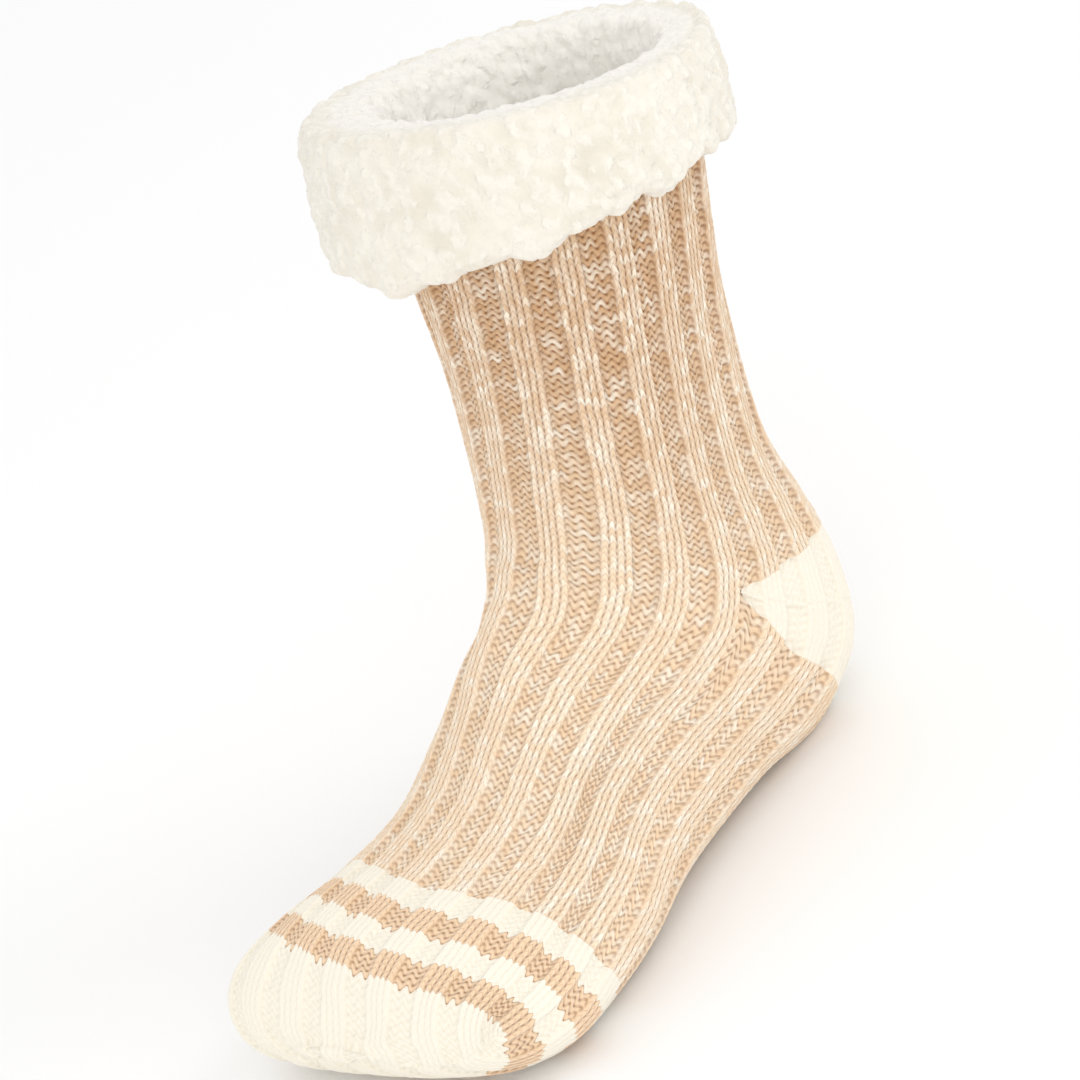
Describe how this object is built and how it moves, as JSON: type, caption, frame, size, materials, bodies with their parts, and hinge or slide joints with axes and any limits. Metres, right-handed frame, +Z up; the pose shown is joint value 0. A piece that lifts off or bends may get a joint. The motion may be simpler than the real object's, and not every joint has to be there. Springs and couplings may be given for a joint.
{
  "type": "slipper sock",
  "caption": "Ribbed knitted slipper sock standing on its sole, hollow, with a turned-down pile cuff, plain heel pocket and striped toe.",
  "frame": {"origin": "the middle of the flat spot under the heel, on the floor plane", "axes": "+X from heel to toe, +Y the wearer's left, +Z up"},
  "size_m": [0.2661, 0.1274, 0.2472],
  "materials": {
    "rib_knit": "matte rib knit of flecked tan yarn, cream at heel and toe",
    "pile": "soft curly cream pile"
  },
  "bodies": {
    "root": {"knit_upper": "rib_knit", "sherpa_cuff": "pile"}
  },
  "joints": []
}
